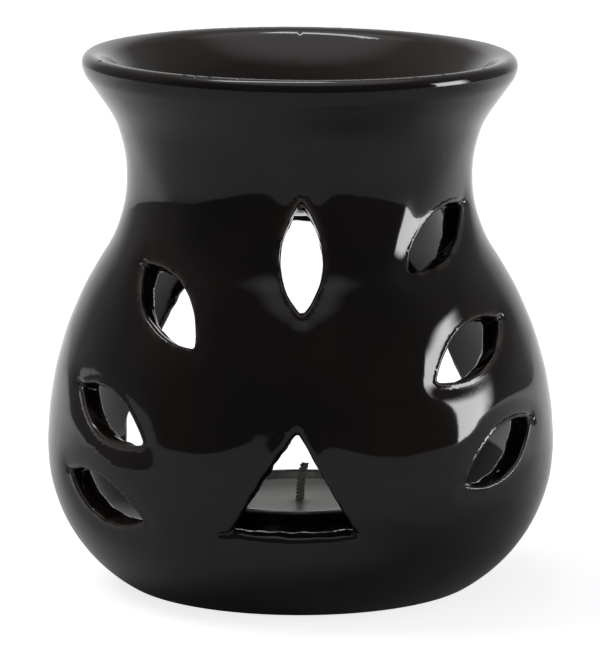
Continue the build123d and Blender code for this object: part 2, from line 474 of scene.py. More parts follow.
def clay(points):
    """Distance of real points from the surface of the pierced clay."""
    drawn = as_drawn(points)
    x, y, z = drawn.T
    r = np.hypot(x, y)
    offset = from_middle(r, z)
    window, leaf, arch = window_distance(drawn), leaf_distance(drawn), arch_distance(drawn)
    sunk = dent(window, window_dent, window_dent_width) + dent(leaf, leaf_dent, leaf_dent_width)
    sunk += dent(tail_distance(drawn), tail_depth, tail_width)
    sunk -= burr * np.exp(-(((leaf - burr_place) / burr_width) ** 2))
    lip_side = np.where(z > waist_height, r - mouth_radius, -mouth_radius)
    vase = round_meet(offset - half_wall + sunk, lip_side, lip_side_round)
    outside = blended(vase, rolled_lip(r, z), flare_blend)
    hollow = round_meet(offset + half_wall, floor_thickness - z, floor_corner_radius)
    top_round = np.where(-hollow > outside, lip_inner_round, lip_top_round)
    shell = round_meet(np.maximum(outside, -hollow), z - crest_height, top_round)
    shell = round_meet(shell, -z, foot_round)
    ripples = cut_ripple(drawn)
    inner = soft_step(-offset / half_wall)
    uneven = ripples * (outer_ripple_share + (1 - outer_ripple_share) * inner)
    shell = round_meet(shell, -leaf + uneven, edge_round)
    shell = round_meet(shell, -window + uneven, window_edge_round)
    return round_meet(shell, -arch + ripples, arch_edge_round)


def slope(points, step=0.02 * mm):
    """The direction in which the distance grows fastest, by four probes around each point."""
    total = np.zeros(points.shape)
    for corner in ((1, -1, -1), (-1, -1, 1), (-1, 1, -1), (1, 1, 1)):
        corner = np.array(corner, float)
        total += clay(points + corner * step)[:, None] * corner
    return total / (4 * step)


opening = clay(np.array([[window_shift, half_wall - belly_radius, belly_height]]))
print("the window's middle is", round(float(opening[0]) / mm, 2), "mm clear of the clay")

# %% [markdown]
# ## Helpers that draw and turn
# On the wheel, a profile turns into a pot. Here a vertex is spun about an arc's centre to draw the
# arc, or extruded to draw a line, and the finished profile is spun about the upright axis.

# %% Helpers that draw and turn
seam_gap = 0.001 * mm


def only_verts(items):
    return [item for item in items if isinstance(item, bmesh.types.BMVert)]


def arc_to(bm, vertex, centre, turn, steps):
    """Draws an arc in the XZ plane from a vertex, about a centre, and returns its last vertex."""
    made = bmesh.ops.spin(
        bm, geom=[vertex], cent=(centre[0], 0, centre[1]), axis=(0, -1, 0), angle=turn, steps=steps
    )
    return only_verts(made["geom_last"])[0]


def line_to(bm, vertex, place):
    made = bmesh.ops.extrude_vert_indiv(bm, verts=[vertex])
    made["verts"][0].co = (place[0], 0, place[1])
    return made["verts"][0]


def draw(bm, start, path, closed=False):
    """Draws a profile: each step is a place to go to, or an arc's centre, turn and steps."""
    first = end = bm.verts.new((start[0], 0, start[1]))
    for step in path:
        end = line_to(bm, end, step) if len(step) == 2 else arc_to(bm, end, *step)
    if closed:
        bm.edges.new((end, first))


def turn_profile(bm, steps):
    """Spins everything drawn so far once around the upright axis, and closes it."""
    bmesh.ops.remove_doubles(bm, verts=bm.verts, dist=seam_gap / 10)
    bmesh.ops.spin(
        bm, geom=bm.verts[:] + bm.edges[:], cent=(0, 0, 0), axis=(0, 0, 1), angle=2 * pi,
        steps=steps, use_merge=True,
    )
    bmesh.ops.remove_doubles(bm, verts=bm.verts, dist=seam_gap)
    bmesh.ops.recalc_face_normals(bm, faces=bm.faces)


def as_object(bm, name, smooth=True):
    mesh = bpy.data.meshes.new(name)
    bm.to_mesh(mesh)
    bm.free()
    piece = bpy.data.objects.new(name, mesh)
    bpy.context.scene.collection.objects.link(piece)
    mesh.polygons.foreach_set("use_smooth", [smooth] * len(mesh.polygons))
    print(name, "has", len(mesh.polygons), "faces")
    return piece


def turned(name, steps, start, path, closed=False, by_hand=None):
    """A piece turned from a profile, and then altered by a function of its bmesh, if any."""
    bm = bmesh.new()
    draw(bm, start, path, closed)
    turn_profile(bm, steps)
    if by_hand:
        by_hand(bm)
    return as_object(bm, name)


# %% [markdown]
# ## The rough vase
# First the plain vase, as it comes off the wheel: outside from foot to lip, over the lip, down the
# inside to the floor. It needs no fine detail, because it will be pressed onto the formula.

# %% The rough vase


def rough_vase():
    foot_angle = asin(belly_height / lower_radius)
    floor_angle = asin((belly_height - floor_thickness) / (lower_radius - wall))
    return turned("burner_body_glazed", 144, (0, 0), [
        (foot_radius, 0),
        (lower_centre, foot_angle, 24),
        (upper_centre, shoulder_angle, 24),
        (waist_centre, -shoulder_angle, 12),
        (neck_centre, -lip_angle, 16),
        (lip_place, pi, 12),
        (neck_centre, lip_angle, 16),
        (waist_centre, shoulder_angle, 12),
        (upper_centre, -shoulder_angle, 24),
        (lower_centre, -floor_angle, 24),
        (0, floor_thickness),
    ])


body = rough_vase()

# %% [markdown]
# ## The cutters
# Each leaf cutter is an outline of two arcs, extruded through the wall. The window's cutter is a
# triangle, and the arch's is a rounded triangle bridged between a near and a far plane. They only
# have to open the holes: the formula gives the final edges.

# %% The cutters


def extruded(bm, edges, travel):
    """Closes a flat outline with a face and pulls it along a vector."""
    face = bmesh.ops.contextual_create(bm, geom=edges)["faces"]
    made = bmesh.ops.extrude_face_region(bm, geom=face, use_keep_orig=True)
    bmesh.ops.translate(bm, verts=only_verts(made["geom"]), vec=travel)
    bmesh.ops.recalc_face_normals(bm, faces=bm.faces)


def leaf_cutter(leaf):
    bm = bmesh.new()
    step = leaf.disc - leaf.width / 2
    turn = -2 * asin(leaf.length / 2 / leaf.disc)
    draw(bm, (0, leaf.length / 2), [((-step, 0), turn, 16), ((step, 0), turn, 16)])
    bmesh.ops.remove_doubles(bm, verts=bm.verts, dist=seam_gap)
    upright = Matrix.Rotation(-pi / 2, 3, "X")
    bmesh.ops.rotate(bm, verts=bm.verts, cent=(0, 0, 0), matrix=upright)
    bmesh.ops.translate(bm, verts=bm.verts, vec=(0, 0, -cut_depth))
    extruded(bm, bm.edges[:], (0, 0, 2 * cut_depth))
    bmesh.ops.transform(bm, matrix=leaf.place, verts=bm.verts)
    return as_object(bm, "leaf_cutter")


def window_cutter():
    bm = bmesh.new()
    left = window_shift - (window_width - window_left_taper) / 2
    right = window_shift + (window_width - window_right_taper) / 2
    apex = (window_shift + window_apex_shift, window_sill + window_height)
    draw(bm, (left, window_sill), [(right, window_sill), apex], closed=True)
    bmesh.ops.translate(bm, verts=bm.verts, vec=(0, -belly_radius - cut_depth, 0))
    extruded(bm, bm.edges[:], (0, 2 * cut_depth, 0))
    return as_object(bm, "window_cutter")


def arch_outline(bm, distance):
    """The arch's rounded triangle at a distance behind the axis, as a list of its edges."""
    spread = (distance / belly_radius + 1) / (arch_true_share + 1)
    top_height = arch_sill + spread * (arch_peak - arch_top_radius / sin(arch_lean))
    half = spread * (arch_base - arch_corner_radius * (1 + sin(arch_lean)) / cos(arch_lean))
    tangent, corner = spread * arch_top_radius, spread * arch_corner_radius
    corner_height = arch_sill + corner
    draw(bm, (half, arch_sill), [
        ((half, corner_height), pi / 2 + arch_lean, 10),
        (tangent * cos(arch_lean), top_height + tangent * sin(arch_lean)),
        ((0, top_height), pi - 2 * arch_lean, 16),
        (-half - corner * cos(arch_lean), corner_height + corner * sin(arch_lean)),
        ((-half, corner_height), pi / 2 + arch_lean, 10),
    ], closed=True)
    outline = [v for v in bm.verts if abs(v.co.y) < seam_gap]
    edges = [e for e in bm.edges if e.verts[0] in outline]
    bmesh.ops.translate(bm, verts=outline, vec=(0, distance, 0))
    return edges


def arch_cutter():
    bm = bmesh.new()
    near = arch_outline(bm, belly_radius / 3)
    far = arch_outline(bm, belly_radius + cut_depth)
    bmesh.ops.bridge_loops(bm, edges=near + far)
    bmesh.ops.contextual_create(bm, geom=near)
    bmesh.ops.contextual_create(bm, geom=far)
    bmesh.ops.recalc_face_normals(bm, faces=bm.faces)
    return as_object(bm, "arch_cutter")


cutters = [leaf_cutter(leaf) for leaf in leaves] + [window_cutter(), arch_cutter()]

# %% [markdown]
# ## Cutting, and clay of an even grain
# The Boolean takes the cutters out one by one. Its faces are long and uneven, so a voxel remesh
# turns the pierced vase into even little squares, small enough to bend round every edge.

# %% Cutting, and clay of an even grain
clay_grain = 1.3 * mm


def pierce(piece, tools):
    for tool in tools:
        cut = piece.modifiers.new("cut", "BOOLEAN")
        cut.operation = "DIFFERENCE"
        cut.solver = "EXACT"
        cut.object = tool
    grain = piece.modifiers.new("grain", "REMESH")
    grain.mode = "VOXEL"
    grain.voxel_size = clay_grain
    piece.update_tag()
    bpy.context.view_layer.update()
    depsgraph = bpy.context.evaluated_depsgraph_get()
    mesh = bpy.data.meshes.new_from_object(piece.evaluated_get(depsgraph))
    piece.modifiers.clear()
    piece.data = mesh
    for tool in tools:
        bpy.data.objects.remove(tool)
    print("pierced:", len(mesh.polygons), "faces")


pierce(body, cutters)

# %% [markdown]
# ## Pressing the mesh onto the formula
# Each vertex walks down the slope of the distance until it lies on the clay. Smoothing in between
# keeps the squares even. Near the cuts, the lip and the foot the mesh is divided, so that their
# small rounds have enough faces, and near the cuts' edges once more. The middle of the wall,
# between wall_core's two offsets, is plain and is left out of that.

# %% Pressing the mesh onto the formula
fine_band = 1.9 * mm
finest_band = 0.75 * mm
lip_band = 3.2 * mm
wall_core = (-1.7 * mm, 0.3 * mm)
flattest_slope = 0.25


def places(bm):
    return np.array([vertex.co for vertex in bm.verts])


def press(bm, walks=2):
    points = places(bm)
    for _ in range(walks):
        way = slope(points)
        length = np.maximum(np.sum(way * way, axis=1), flattest_slope)
        points -= way * (clay(points) / length)[:, None]
    for vertex, place in zip(bm.verts, points):
        vertex.co = place


def relax(bm, rounds):
    for _ in range(rounds):
        bmesh.ops.smooth_vert(
            bm, verts=bm.verts, factor=0.5, use_axis_x=True, use_axis_y=True, use_axis_z=True
        )
        press(bm)


def divide_near(bm, band, with_lip):
    """Divides the faces near the cuts, and near the lip and the foot or clear of the core."""
    points = as_drawn(places(bm))
    r, z = np.hypot(points[:, 0], points[:, 1]), points[:, 2]
    near = from_cuts(points) < band
    if with_lip:
        near |= z > crest_height - lip_band
        near |= (z < foot_round * 2) & (r > foot_radius - lip_band)
    else:
        offset = from_middle(r, z)
        near &= (offset < wall_core[0]) | (offset > wall_core[1])
    picked = [e for e in bm.edges if near[e.verts[0].index] and near[e.verts[1].index]]
    bmesh.ops.subdivide_edges(bm, edges=picked, cuts=1, use_grid_fill=True)
    bmesh.ops.triangulate(bm, faces=bm.faces)
    bm.verts.index_update()


def finish_clay(piece):
    bm = bmesh.new()
    bm.from_mesh(piece.data)
    press(bm, 3)
    relax(bm, 2)
    bmesh.ops.triangulate(bm, faces=bm.faces)
    divide_near(bm, fine_band, True)
    relax(bm, 2)
    divide_near(bm, finest_band, False)
    relax(bm, 2)
    press(bm, 2)
    points = places(bm)
    off = np.abs(clay(points)).max() / mm
    print("pressed:", len(bm.faces), "triangles, off by at most", round(float(off), 3), "mm")
    bm.to_mesh(piece.data)
    bm.free()
    normals = slope(points)
    normals /= np.linalg.norm(normals, axis=1)[:, None]
    piece.data.polygons.foreach_set("use_smooth", [True] * len(piece.data.polygons))
    piece.data.normals_split_custom_set_from_vertices(normals.tolist())
    return points


clay_points = finish_clay(body)

# %% [markdown]
# ## Marks for the glaze
# Glaze runs off sharp edges and breaks to a brown there, and inside the mouth it was only poured,
# so it is browner too. Two numbers on each vertex, cut_edge and mouth, say where that is.

# %% Marks for the glaze
thin_glaze_band = 0.8 * mm
mouth_fade = 8 * mm


def mark(piece, name, values):
    attribute = piece.data.attributes.new(name, "FLOAT", "POINT")
    attribute.data.foreach_set("value", values.astype(np.float32))
    print(name, "is above a half at", int(np.sum(values > 0.5)), "points")


def mark_clay(piece, points):
    drawn = as_drawn(points)
    x, y, z = drawn.T
    offset = from_middle(np.hypot(x, y), z)
    on_skin = np.abs(np.abs(offset) - half_wall)
    edge = np.hypot(from_cuts(drawn), on_skin)
    mark(piece, "cut_edge", np.exp(-((edge / thin_glaze_band) ** 2)))
    high = soft_step((z - waist_height) / mouth_fade)
    mark(piece, "mouth", soft_step(0.5 - offset / half_wall) * high)


mark_clay(body, clay_points)

# %% [markdown]
# ## The dish and its slip
# The dish is thrown by itself and set into the neck with slip, a cream of clay. Inside, the glaze
# has run over the joint, so the wall of the neck turns into the dish in one sweep. Its profile is
# one arc inside, which meets the neck's inner wall as a tangent, and one arc below. The slip that
# was squeezed out hangs as a rounded bead under the dish's edge.

# %% The dish and its slip
dish_seat_rise = 1.0 * mm
dish_seat_length = 10.0 * mm
dish_depth = 14.6 * mm
dish_wall = 4.0 * mm
slip_height = 3.2 * mm
slip_reach = 3.8 * mm
inner_neck_radius = neck_radius + wall
inner_waist_radius = waist_arc_radius + wall
seat_foot_height = waist_height + dish_seat_rise
dish_rim_height = seat_foot_height + dish_seat_length
bowl_bottom = dish_rim_height - dish_depth
dish_bottom = bowl_bottom - dish_wall
neck_drop = bowl_bottom - waist_height
bowl_spread = neck_centre[0] ** 2 + neck_drop**2 - inner_neck_radius**2
bowl_radius = bowl_spread / (2 * (inner_neck_radius - neck_drop))
bowl_centre_height = bowl_bottom + bowl_radius
seat_foot_radius = neck_centre[0] - np.sqrt(inner_neck_radius**2 - dish_seat_rise**2)
dish_sag = seat_foot_height - dish_bottom
under_radius = (seat_foot_radius**2 + dish_sag**2) / (2 * dish_sag)
feather_share = 0.93
bite = 0.35 * mm
slip_drop = slip_height - dish_seat_rise
finger_press = 0.25 * mm


def thrown_with_body(bm):
    """Gives a turned piece the same hand-thrown wobble as the clay that holds it."""
    for vertex, place in zip(bm.verts, as_thrown(places(bm))):
        vertex.co = place


def glazed_bowl():
    feather = feather_share * atan2(neck_centre[0], bowl_centre_height - waist_height)
    edge_height = bowl_centre_height - bowl_radius * cos(feather)
    edge_angle = asin((edge_height - waist_height) / inner_neck_radius)
    edge_radius = neck_centre[0] - inner_neck_radius * cos(edge_angle)
    under_turn = asin(seat_foot_radius / under_radius)
    under_rise = under_radius * (1 - cos(under_turn))
    return turned("oil_bowl_glazed", 192, (0, bowl_bottom), [
        ((0, bowl_centre_height), feather, 40),
        (edge_radius + bite, edge_height - bite),
        (seat_foot_radius + bite, seat_foot_height),
        (seat_foot_radius, seat_foot_height - bite),
        (seat_foot_radius, dish_bottom + under_rise),
        ((0, dish_bottom + under_radius), -under_turn, 32),
    ], by_hand=thrown_with_body)


def pressed_by_finger(bm):
    """Leaves the small waves of a fingertip that went round the slip's underside."""
    for vertex in bm.verts:
        angle = atan2(vertex.co.y, vertex.co.x)
        pressed = finger_press * (sin(9 * angle + 1.3 * sin(4 * angle)) + 0.5 * sin(23 * angle))
        vertex.co.z -= pressed * (vertex.co.z < waist_height - slip_drop / 2)
    thrown_with_body(bm)


def slip_ring():
    drop_angle = asin(slip_drop / inner_waist_radius)
    reach_turn = asin((seat_foot_radius - slip_reach) / under_radius)
    under_height = dish_bottom + under_radius * (1 - cos(reach_turn))
    on_dish = Vector((seat_foot_radius - slip_reach, under_height))
    on_wall_radius = waist_centre[0] - inner_waist_radius * cos(drop_angle)
    on_wall = Vector((on_wall_radius, waist_height - slip_drop))
    chord = on_wall - on_dish
    centre = (on_dish + on_wall) / 2 + Vector((chord.y, -chord.x)) * cos(pi / 6)
    bead_end = centre + Matrix.Rotation(pi / 3, 2) @ (on_dish - centre)
    return turned("slip_joint_smoothed", 144, (on_dish.x, under_height + bite), [
        on_dish,
        (centre, pi / 3, 10),
        (bead_end.x + bite, bead_end.y),
        (seat_foot_radius + bite, seat_foot_height),
    ], closed=True, by_hand=pressed_by_finger)


bowl = glazed_bowl()
slip = slip_ring()

# %% [markdown]
# ## The tealight
# A tealight is a cup of thin drawn aluminium with a rolled rim, a puck of wax poured into it, and a
# wick that stands in a stamped foot. The cup, the wax and the foot are turned from profiles. Wax
# creeps up the cup and the wick as it sets, so its top is a shallow hollow. The wick is three
# strands that spin round the axis as they rise.

# %% The tealight
cup_radius = 19.0 * mm
cup_height = 10.5 * mm
cup_skin = 0.4 * mm
cup_rim_radius = 0.5 * mm
cup_ring_width = 3.4 * mm
cup_base_rise = 0.5 * mm
candle_clearance = 0.3 * mm
wax_height = 7.9 * mm
wax_creep = 0.5 * mm
wick_radius = 0.9 * mm
wick_stand = 7.0 * mm
plate_radius = 6.0 * mm
plate_thickness = 0.3 * mm
collar_thickness = 0.35 * mm
collar_height = 3.0 * mm
cup_heel = 1.0 * mm
wax_foot_round = 0.6 * mm
wax_edge_round = 0.15 * mm
creep_radius = 3.0 * mm
creep_turn = 0.45
creep_width = 3.2 * mm
# How the wax climbs the wick: distances from the wick, and heights above the hollow
wick_creep = [(2.2 * mm, 0), (0.9 * mm, 0.15 * mm), (0, 0.5 * mm)]
plate_edge = 0.1 * mm
collar_foot_round = 0.3 * mm
strand_radius = 0.42 * mm
strand_turns = 7
wick_bend = (0.9 * mm, -0.3 * mm)
cup_floor = floor_thickness
base_underside = cup_floor + cup_base_rise
wax_bottom = base_underside + cup_skin
wax_radius = cup_radius - cup_skin - candle_clearance
wax_top = wax_bottom + wax_height
plate_top = wax_bottom + plate_thickness
collar_radius = wick_radius + collar_thickness
collar_top = plate_top + collar_height


def drawn_cup():
    inner = cup_radius - cup_skin
    ring_inside = cup_radius - cup_ring_width
    bead_height = cup_floor + cup_height - cup_rim_radius
    bead_foot = bead_height - cup_rim_radius
    heel_centre = (cup_radius - cup_heel, cup_floor + cup_heel)
    return turned("tealight_cup_drawn", 144, (0, base_underside), [
        (ring_inside - cup_base_rise, base_underside),
        (ring_inside, cup_floor),
        (cup_radius - cup_heel, cup_floor),
        (heel_centre, pi / 2, 6),
        (cup_radius, bead_foot),
        (inner + cup_rim_radius, bead_foot),
        ((inner + cup_rim_radius, bead_height), 3 * pi / 2, 12),
        (inner, cup_floor + cup_heel),
        (heel_centre, -pi / 2, 6),
        (ring_inside + cup_skin, cup_floor + cup_skin),
        (ring_inside, wax_bottom),
        (0, wax_bottom),
    ])


def poured_wax():
    hollow = wax_top - wax_creep
    edge = wax_radius - wax_edge_round
    return turned("tealight_wax_poured", 128, (plate_radius, wax_bottom), [
        (wax_radius - wax_foot_round, wax_bottom),
        ((wax_radius - wax_foot_round, wax_bottom + wax_foot_round), pi / 2, 5),
        (wax_radius, wax_top - wax_edge_round),
        ((edge, wax_top - wax_edge_round), pi / 2, 4),
        ((edge, wax_top + creep_radius), -creep_turn, 6),
        (wax_radius - creep_width, hollow),
        *[(wick_radius + away, hollow + rise) for away, rise in wick_creep],
        (wick_radius, collar_top),
        (collar_radius, collar_top),
        (collar_radius, plate_top),
        (plate_radius, plate_top),
    ], closed=True)


def braided_wick():
    """Three strands twisted round each other, trimmed at the top and bent a little by the hand."""
    bm = bmesh.new()
    height = wax_top + wick_stand - plate_top
    steps = 24 * strand_turns
    off_axis = Matrix.Translation((wick_radius - strand_radius, 0, plate_top))
    for number in range(3):
        made = bmesh.ops.create_circle(bm, cap_ends=True, segments=8, radius=strand_radius)
        place = Matrix.Rotation(number * 2 * pi / 3, 4, "Z") @ off_axis
        bmesh.ops.transform(bm, matrix=place, verts=made["verts"])
        geom = made["verts"] + list({e for v in made["verts"] for e in v.link_edges})
        geom += list({f for v in made["verts"] for f in v.link_faces})
        bmesh.ops.spin(
            bm, geom=geom, cent=(0, 0, 0), axis=(0, 0, 1), dvec=(0, 0, height / steps),
            angle=strand_turns * 2 * pi, steps=steps,
        )
    bmesh.ops.recalc_face_normals(bm, faces=bm.faces)
    for vertex in bm.verts:
        above = max(vertex.co.z - wax_top, 0) / wick_stand
        vertex.co.x += wick_bend[0] * above**2
        vertex.co.y += wick_bend[1] * above**2
    return as_object(bm, "tealight_wick_braided")


def stamped_foot():
    foot_of_collar = collar_radius + collar_foot_round
    return turned("wick_sustainer_stamped", 64, (0, wax_bottom), [
        (plate_radius - plate_edge, wax_bottom),
        (plate_radius, wax_bottom + plate_edge),
        (plate_radius, plate_top),
        (foot_of_collar, plate_top),
        ((foot_of_collar, plate_top + collar_foot_round), -pi / 2, 4),
        (collar_radius - plate_edge, collar_top),
        (wick_radius, collar_top),
        (wick_radius, plate_top),
        (0, plate_top),
    ])


cup = drawn_cup()
wax = poured_wax()
wick = braided_wick()
foot = stamped_foot()

# %% [markdown]
# ## Shader sums in Python
# A finish is a small network of nodes. Written as sums it can be read: a Value wraps one socket,
# and adding, multiplying or comparing Values adds the Math nodes. Everything else is made by
# Finish.node, which takes a node's type, its settings and what goes into its sockets.

# %% Shader sums in Python


class Value:
    def __init__(self, finish, socket):
        self.finish, self.socket = finish, socket

    def sum(self, operation, first, second):
        return self.finish.node("Math", {"operation": operation}, {0: first, 1: second})

    def __add__(self, other):
        return self.sum("ADD", self, other)

    def __sub__(self, other):
        return self.sum("SUBTRACT", self, other)

    def __rsub__(self, other):
        return self.sum("SUBTRACT", other, self)

    def __mul__(self, other):
        return self.sum("MULTIPLY", self, other)

    def __lt__(self, other):
        return self.sum("LESS_THAN", self, other)

    __radd__ = __add__
    __rmul__ = __mul__


# %% The nodes of a finish


class Finish:
    """A material, or the world, whose nodes are made one call at a time."""

    def __init__(self, owner):
        owner.use_nodes = True
        self.owner = owner
        self.tree = owner.node_tree
        self.tree.nodes.clear()

    def node(self, kind, settings=(), inputs=(), out=0):
        made = self.tree.nodes.new("ShaderNode" + kind)
        for name, value in dict(settings).items():
            setattr(made, name, value)
        for name, value in dict(inputs).items():
            if isinstance(value, Value):
                self.tree.links.new(value.socket, made.inputs[name])
            else:
                made.inputs[name].default_value = value
        return Value(self, made.outputs[out])

    def place(self):
        return self.node("TexCoord", out="Object")

    def part_of(self, vector, axis):
        return self.node("SeparateXYZ", inputs={"Vector": vector}, out=axis)

    def ray(self, kind):
        """1 where the light path's last ray was a Camera, Glossy or Transmission one."""
        return self.node("LightPath", out=f"Is {kind} Ray")

    def noise(self, size, detail=2.0, where=None):
        """Noise from 0 to 1 whose patches are about as wide as size."""
        inputs = {"Vector": where or self.place(), "Scale": 1 / size, "Detail": detail}
        return self.node("TexNoise", inputs=inputs)

    def larger(self, first, second):
        return self.node("Math", {"operation": "MAXIMUM"}, {0: first, 1: second})

    def choose(self, share, first, second):
        return self.node("Mix", {"data_type": "FLOAT"}, {0: share, 2: first, 3: second})

    def between(self, low, high, value):
        """0 below low, 1 above high, and a smooth rise between them."""
        settings = {"interpolation_type": "SMOOTHSTEP"}
        return self.node("MapRange", settings, {"Value": value, "From Min": low, "From Max": high})

    def colour(self, share, first, second):
        first, second = ((*c, 1) if isinstance(c, tuple) else c for c in (first, second))
        return self.node("Mix", {"data_type": "RGBA"}, {0: share, 6: first, 7: second}, out=2)

    def bump(self, height, depth, under=None):
        inputs = {"Height": height, "Distance": depth, "Strength": 1.0}
        if under is not None:
            inputs["Normal"] = under
        return self.node("Bump", inputs=inputs)

    def surface(self, colour, roughness, normal=None, **uniform):
        inputs = {"Base Color": colour, "Roughness": roughness}
        inputs |= {name.replace("_", " "): value for name, value in uniform.items()}
        if normal is not None:
            inputs["Normal"] = normal
        self.finish_with(self.node("BsdfPrincipled", inputs=inputs))
        return self.owner

    def finish_with(self, shader, kind="Material"):
        output = self.tree.nodes.new("ShaderNodeOutput" + kind)
        self.tree.links.new(shader.socket, output.inputs["Surface"])


def new_finish(name):
    return Finish(bpy.data.materials.new(name))


def dress(piece, material):
    piece.data.materials.clear()
    piece.data.materials.append(material)
    print(piece.name, "wears", material.name)


# %% [markdown]
# ## Black glaze
# Stoneware dipped in a black gloss glaze is nearly a mirror, so what shows is mostly reflection.
# Three things keep it from looking like plastic: the surface swims in slow waves where the glaze
# was thick, it has a fine orange peel, and a few pinholes and specks of dust sit in it. At the
# knife's edges the glaze is thin and turns brown. The foot is wiped before firing, so its underside
# shows bare clay.

# %% Black glaze
glaze_black = (0.0060, 0.0044, 0.0043)
glaze_warm = (0.0095, 0.0065, 0.0056)
glaze_thin = (0.080, 0.062, 0.050)
bowl_brown = (0.027, 0.0232, 0.0212)
bowl_pale = (0.036, 0.030, 0.027)
slip_brown = (0.010, 0.0082, 0.0072)
slip_pale = (0.018, 0.013, 0.010)
bare_clay = (0.42, 0.27, 0.18)
bare_clay_dark = (0.30, 0.18, 0.12)
speck_colour = (0.06, 0.056, 0.052)
glaze_gloss = 0.045
slip_gloss = 0.16
# For each kind of spot: the spacing of its cells, its size, and the share of cells that have one
dust_spots = (9 * mm, 0.16 * mm, 0.22)
pinhole_spots = (13 * mm, 0.17 * mm, 0.2)
pinhole_depth = 0.03 * mm
cloud_width = 18 * mm
sheen_width = 7 * mm
edge_break_width = 2.4 * mm
swim_width, swim_height = 9 * mm, 0.05 * mm
peel_width, peel_height = 0.9 * mm, 0.0025 * mm
wiped_height = (0.10 * mm, 0.35 * mm)
wiped_raggedness = 0.3 * mm
wiped_patch_width = 3 * mm
grit_width = 0.8 * mm


def specks(finish, spacing, size, share):
    """1 in a few small round spots, and 0 elsewhere."""
    cells = {"Vector": finish.place(), "Scale": 1 / spacing}
    distance = finish.node("TexVoronoi", inputs=cells)
    chance = finish.node("TexVoronoi", inputs=cells, out="Color")
    chance = finish.node("SeparateColor", inputs={"Color": chance})
    return (distance < size / spacing) * (chance < share)


def glaze(name, thick, warm, wiped_foot=False, gloss=glaze_gloss):
    finish = new_finish(name)
    clouds = finish.between(0.35, 0.7, finish.noise(cloud_width, 3))
    colour = finish.colour(clouds, thick, warm)
    mouth = finish.node("Attribute", {"attribute_name": "mouth"}, out="Fac")
    colour = finish.colour(mouth, colour, bowl_brown)
    edge = finish.node("Attribute", {"attribute_name": "cut_edge"}, out="Fac")
    edge = edge * finish.between(0.3, 0.65, finish.noise(edge_break_width, 2))
    colour = finish.colour(edge, colour, glaze_thin)
    dust = specks(finish, *dust_spots)
    pinhole = specks(finish, *pinhole_spots)
    colour = finish.colour(dust, colour, speck_colour)
    roughness = gloss + 0.03 * finish.noise(sheen_width, 2) + 0.35 * dust
    swim = finish.bump(finish.noise(swim_width, 1), swim_height)
    peel = finish.bump(finish.noise(peel_width, 2), peel_height, swim)
    normal = finish.bump(1 - pinhole, pinhole_depth, peel)
    if wiped_foot:
        height = finish.part_of(finish.place(), "Z")
        height = height + wiped_raggedness * finish.noise(wiped_patch_width, 3)
        bare = 1 - finish.between(*wiped_height, height)
        grit = finish.colour(finish.noise(grit_width, 4), bare_clay, bare_clay_dark)
        colour = finish.colour(bare, colour, grit)
        roughness = roughness + 0.7 * bare
    return finish.surface(colour, roughness, normal, IOR=1.5)


dress(body, glaze("black_glaze", glaze_black, glaze_warm, wiped_foot=True))
dress(bowl, glaze("bowl_glaze_dark", bowl_brown, bowl_pale))
dress(slip, glaze("slip_glaze", slip_brown, slip_pale, gloss=slip_gloss))

# %% [markdown]
# ## Foil, wax, cotton and tinplate
# Drawn foil shows fine upright scratches. Paraffin lets light in a little and is never quite even
# on top. The cotton is matt, stiff with wax at its foot. The stamped foot is plain tinplate.

# %% Foil, wax, cotton and tinplate
foil_bright = (0.80, 0.80, 0.81)
foil_dull = (0.72, 0.72, 0.74)
wax_white = (0.86, 0.84, 0.79)
wax_cream = (0.80, 0.77, 0.70)
cotton_pale = (0.80, 0.77, 0.70)
cotton_dark = (0.62, 0.58, 0.50)
tin_bright = (0.62, 0.62, 0.63)
tin_dull = (0.50, 0.50, 0.52)
line_width, line_height = 0.25 * mm, 0.012 * mm
line_stretch = (1, 1, 0.06)
crumple_width, crumple_height = 5 * mm, 0.12 * mm
cloudy_width = 6 * mm
dimple_width, dimple_height = 2.5 * mm, 0.06 * mm
wax_light_depth = 2 * mm
cotton_patch_width = 0.35 * mm
fluff_width, fluff_height = 0.12 * mm, 0.05 * mm
scratch_width = 0.5 * mm


def foil():
    finish = new_finish("cup_foil_drawn")
    drawn_up = finish.node("Mapping", inputs={"Vector": finish.place(), "Scale": line_stretch})
    lines = finish.noise(line_width, 3, drawn_up)
    crumple = finish.noise(crumple_width, 2)
    colour = finish.colour(crumple, foil_bright, foil_dull)
    normal = finish.bump(crumple, crumple_height, finish.bump(lines, line_height))
    return finish.surface(colour, 0.22 + 0.16 * lines, normal, Metallic=1.0)


def paraffin():
    finish = new_finish("wax_paraffin")
    cloud = finish.noise(cloudy_width, 4)
    colour = finish.colour(cloud, wax_white, wax_cream)
    normal = finish.bump(finish.noise(dimple_width, 3), dimple_height)
    through = {"Subsurface_Weight": 0.25, "Subsurface_Scale": wax_light_depth}
    return finish.surface(colour, 0.32 + 0.2 * cloud, normal, **through)


def cotton():
    finish = new_finish("wick_cotton_waxed")
    patch = finish.noise(cotton_patch_width, 3)
    colour = finish.colour(patch, cotton_pale, cotton_dark)
    normal = finish.bump(finish.noise(fluff_width, 2), fluff_height)
    return finish.surface(colour, 0.65 + 0.25 * patch, normal)


def tinplate():
    finish = new_finish("tinplate_stamped")
    scratch = finish.noise(scratch_width, 4)
    colour = finish.colour(scratch, tin_bright, tin_dull)
    return finish.surface(colour, 0.25 + 0.2 * scratch, Metallic=1.0)


dress(cup, foil())
dress(wax, paraffin())
dress(wick, cotton())
dress(foot, tinplate())
